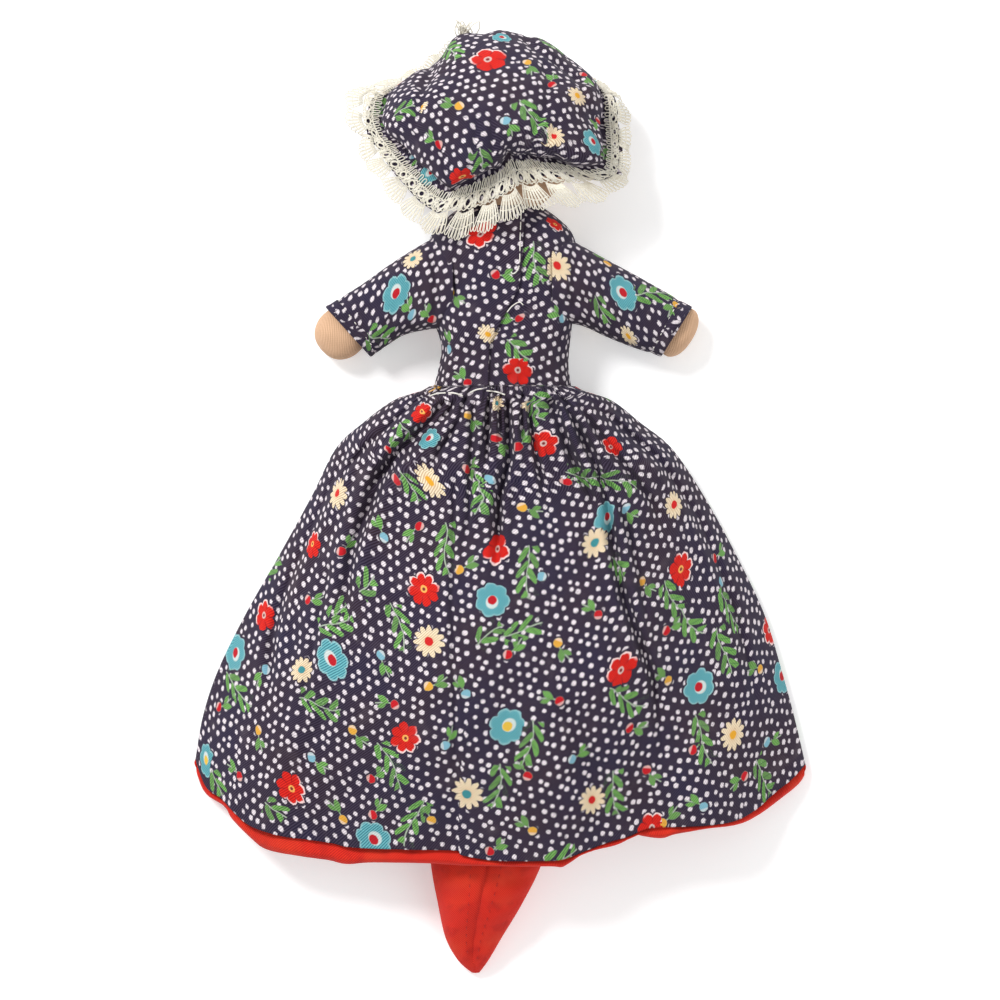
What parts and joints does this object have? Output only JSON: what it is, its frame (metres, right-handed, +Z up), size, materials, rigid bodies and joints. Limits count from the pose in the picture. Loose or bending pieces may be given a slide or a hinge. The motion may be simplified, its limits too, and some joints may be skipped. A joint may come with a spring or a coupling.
{
  "type": "cloth doll",
  "caption": "Sewn rag doll lying face down, with a gathered mob cap, a calico dress and a second hooded doll under its reversible skirt.",
  "frame": {"origin": "middle of the doll's overall length and width, on the surface it lies on", "axes": "+Z up out of the doll's back, +Y towards the top of the capped head, +X towards the right of the picture"},
  "size_m": [0.204, 0.3179, 0.0498],
  "materials": {
    "skin_cotton": "matte",
    "stuffing": "matte",
    "calico": "matte",
    "red_cotton": "matte",
    "lace": "matte",
    "thread": "matte"
  },
  "bodies": {
    "body": {"torso_skin": "skin_cotton", "torso_stuffing": "stuffing", "bodice_front": "calico", "bodice_back_left": "calico", "bodice_back_right": "calico", "lower_bodice_front": "red_cotton", "lower_bodice_back": "red_cotton", "waist_thread": "thread", "skirt": "calico", "skirt_lining": "red_cotton"},
    "head": {"head_skin": "skin_cotton", "head_stuffing": "stuffing", "cap": "calico", "cap_lace": "lace", "cap_elastic": "thread"},
    "arm_left": {"sleeve_left": "calico", "arm_left": "skin_cotton", "arm_left_stuffing": "stuffing"},
    "arm_right": {"sleeve_right": "calico", "arm_right": "skin_cotton", "arm_right_stuffing": "stuffing"},
    "lower_head": {"lower_head_skin": "skin_cotton", "lower_head_stuffing": "stuffing", "hood_left": "red_cotton", "hood_right": "red_cotton"},
    "lower_arm_left": {"lower_sleeve_left": "red_cotton", "lower_arm_left": "skin_cotton", "lower_arm_left_stuffing": "stuffing"},
    "lower_arm_right": {"lower_sleeve_right": "red_cotton", "lower_arm_right": "skin_cotton", "lower_arm_right_stuffing": "stuffing"}
  },
  "joints": [
    {"name": "neck_tilt", "type": "hinge", "parent": "body", "child": "head", "pos_m": [0, 0.09475, 0.0159], "axis": [0, 0, 1], "range_deg": [-12, 12]},
    {"name": "arm_left_swing", "type": "hinge", "parent": "body", "child": "arm_left", "pos_m": [-0.029, 0.07155, 0.0159], "axis": [0, 0, -1], "range_deg": [-20, 30]},
    {"name": "arm_right_swing", "type": "hinge", "parent": "body", "child": "arm_right", "pos_m": [0.029, 0.07155, 0.0159], "axis": [0, 0, 1], "range_deg": [-20, 30]},
    {"name": "lower_neck_tilt", "type": "hinge", "parent": "body", "child": "lower_head", "pos_m": [0, -0.02025, 0.0159], "axis": [0, 0, 1], "range_deg": [-6, 6]},
    {"name": "lower_arm_left_swing", "type": "hinge", "parent": "body", "child": "lower_arm_left", "pos_m": [-0.029, 0.00295, 0.0159], "axis": [0, 0, -1], "range_deg": [-10, 10]},
    {"name": "lower_arm_right_swing", "type": "hinge", "parent": "body", "child": "lower_arm_right", "pos_m": [0.029, 0.00295, 0.0159], "axis": [0, 0, 1], "range_deg": [-10, 10]}
  ]
}
